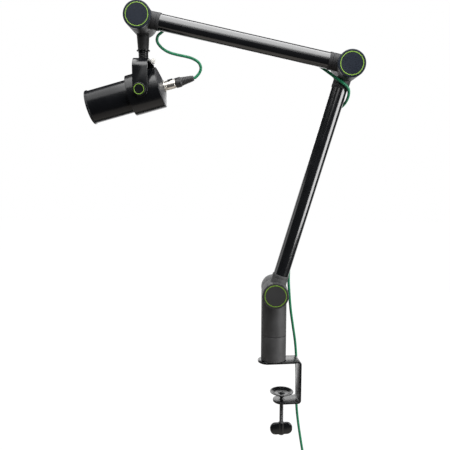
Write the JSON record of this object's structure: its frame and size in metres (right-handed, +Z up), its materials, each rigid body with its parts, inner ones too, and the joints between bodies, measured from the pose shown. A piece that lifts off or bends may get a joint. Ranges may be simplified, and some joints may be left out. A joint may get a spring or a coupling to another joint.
{
  "type": "broadcast microphone on a desk boom arm",
  "caption": "End-address broadcast microphone in a yoke on a two-section boom arm with a swivelling post, a screw desk clamp and its cable.",
  "frame": {"origin": "on the post swivel axis, in the plane of the desk top that the clamp grips (underside of the desk pad)", "axes": "+Z up along the post, +X to the right, towards the clamp strap's closed side, +Y to the rear; the front caps face -Y"},
  "size_m": [0.5302, 0.1568, 1.1204],
  "materials": {
    "satin_black": "satin black paint",
    "powder_coat": "textured powder coat",
    "black_steel": "semi-gloss black",
    "grey_satin": "satin dark grey",
    "cap": "satin",
    "green_ring": "satin",
    "green_cable": "satin",
    "steel": "machined",
    "nickel": "satin nickel",
    "brass": "satin",
    "rubber": "matt",
    "foam": "open foam",
    "nylon": "natural",
    "board": "solder mask"
  },
  "bodies": {
    "clamp": {"clamp_bracket": "black_steel", "desk_pad": "rubber", "post_socket": "powder_coat", "swivel_bush": "nylon", "socket_screw": "steel", "foot_nut": "black_steel", "cable_hang": "green_cable", "cable_hank": "green_cable", "xlr_plug": "nickel"},
    "pressure_pad": {"pressure_pad": "black_steel"},
    "clamp_screw": {"clamp_screw": "black_steel", "wing_handle": "black_steel"},
    "post": {"post_column": "powder_coat", "swivel_spigot": "steel", "base_rear_cap": "cap"},
    "lower_arm": {"base_housing": "powder_coat", "lower_tube": "satin_black", "lower_elbow_housing": "powder_coat", "base_cap": "cap", "base_ring": "green_ring", "elbow_rear_cap": "cap", "base_bolt": "steel", "lower_spring": "steel", "lower_spring_anchor": "steel", "cable_lower": "green_cable"},
    "upper_arm": {"upper_elbow_housing": "powder_coat", "upper_tube": "satin_black", "head_housing": "powder_coat", "elbow_cap": "cap", "elbow_ring": "green_ring", "head_cap": "cap", "head_ring": "green_ring", "elbow_bolt": "steel", "head_bolt": "steel", "upper_spring": "steel", "upper_spring_anchor": "steel", "cable_upper": "green_cable"},
    "head": {"neck_housing": "powder_coat", "head_rear_cap": "cap", "neck_flange": "satin_black", "thread_adapter": "satin_black"},
    "yoke": {"yoke_bracket": "satin_black", "yoke_bolt": "steel", "yoke_lock_screw": "steel"},
    "front_knob": {"front_knob": "cap", "front_knob_ring": "green_ring"},
    "rear_knob": {"rear_knob": "cap"},
    "mic": {"front_bezel": "satin_black", "front_barrel": "satin_black", "front_grille": "black_steel", "foam_filter": "foam", "rear_housing": "satin_black", "rear_cover": "grey_satin", "capsule": "brass", "capsule_mount": "rubber", "circuit_board": "board", "xlr_socket": "nickel", "xlr_shell": "nickel", "xlr_boot": "rubber"},
    "latch": {"xlr_latch": "cap"}
  },
  "joints": [
    {"name": "screw_turn", "type": "hinge", "parent": "pressure_pad", "child": "clamp_screw", "pos_m": [0.01862, 0.00262, -0.1], "axis": [0, 0, 1], "range_deg": [-1080, 7920]},
    {"name": "pad_slide", "type": "slide", "parent": "clamp", "child": "pressure_pad", "axis": [0, 0, 1], "range_m": [-0.00601, 0.04401]},
    {"name": "post_swivel", "type": "hinge", "parent": "clamp", "child": "post", "pos_m": [0, 0, 0.06], "axis": [0, 0, 1], "range_deg": [-170, 170]},
    {"name": "base_tilt", "type": "hinge", "parent": "post", "child": "lower_arm", "pos_m": [0, -0.038, 0.158], "axis": [0, 1, 0], "range_deg": [-70, 70], "deforming": ["cable_hang"]},
    {"name": "elbow_tilt", "type": "hinge", "parent": "lower_arm", "child": "upper_arm", "pos_m": [0.1306, -0.057, 0.5994], "axis": [0, 1, 0], "range_deg": [-54, 85], "deforming": ["cable_lower"]},
    {"name": "head_tilt", "type": "hinge", "parent": "upper_arm", "child": "head", "pos_m": [-0.259, -0.057, 0.6884], "axis": [0, 1, 0], "range_deg": [-40, 90], "deforming": ["cable_upper"]},
    {"name": "yoke_swivel", "type": "hinge", "parent": "head", "child": "yoke", "pos_m": [-0.259, -0.038, 0.62], "axis": [0, 0, 1], "range_deg": [-120, 120]},
    {"name": "mic_tilt", "type": "hinge", "parent": "yoke", "child": "mic", "pos_m": [-0.2588, -0.038, 0.5566], "axis": [0, 1, 0], "range_deg": [-40, 55]},
    {"name": "front_knob_turn", "type": "hinge", "parent": "yoke", "child": "front_knob", "pos_m": [-0.2588, -0.085, 0.5566], "axis": [0, 1, 0], "range_deg": [-180, 180]},
    {"name": "rear_knob_turn", "type": "hinge", "parent": "yoke", "child": "rear_knob", "pos_m": [-0.2588, 0.009, 0.5566], "axis": [0, 1, 0], "range_deg": [-180, 180]},
    {"name": "latch_press", "type": "slide", "parent": "mic", "child": "latch", "axis": [0.2632, 0, -0.9647], "range_m": [0, 0.0011], "stiffness_N_per_m": 300, "springref_m": -0.001}
  ],
  "couplings": [
    {"joint": "pad_slide", "follows": "screw_turn", "m_per_rad": 0.00031831}
  ]
}
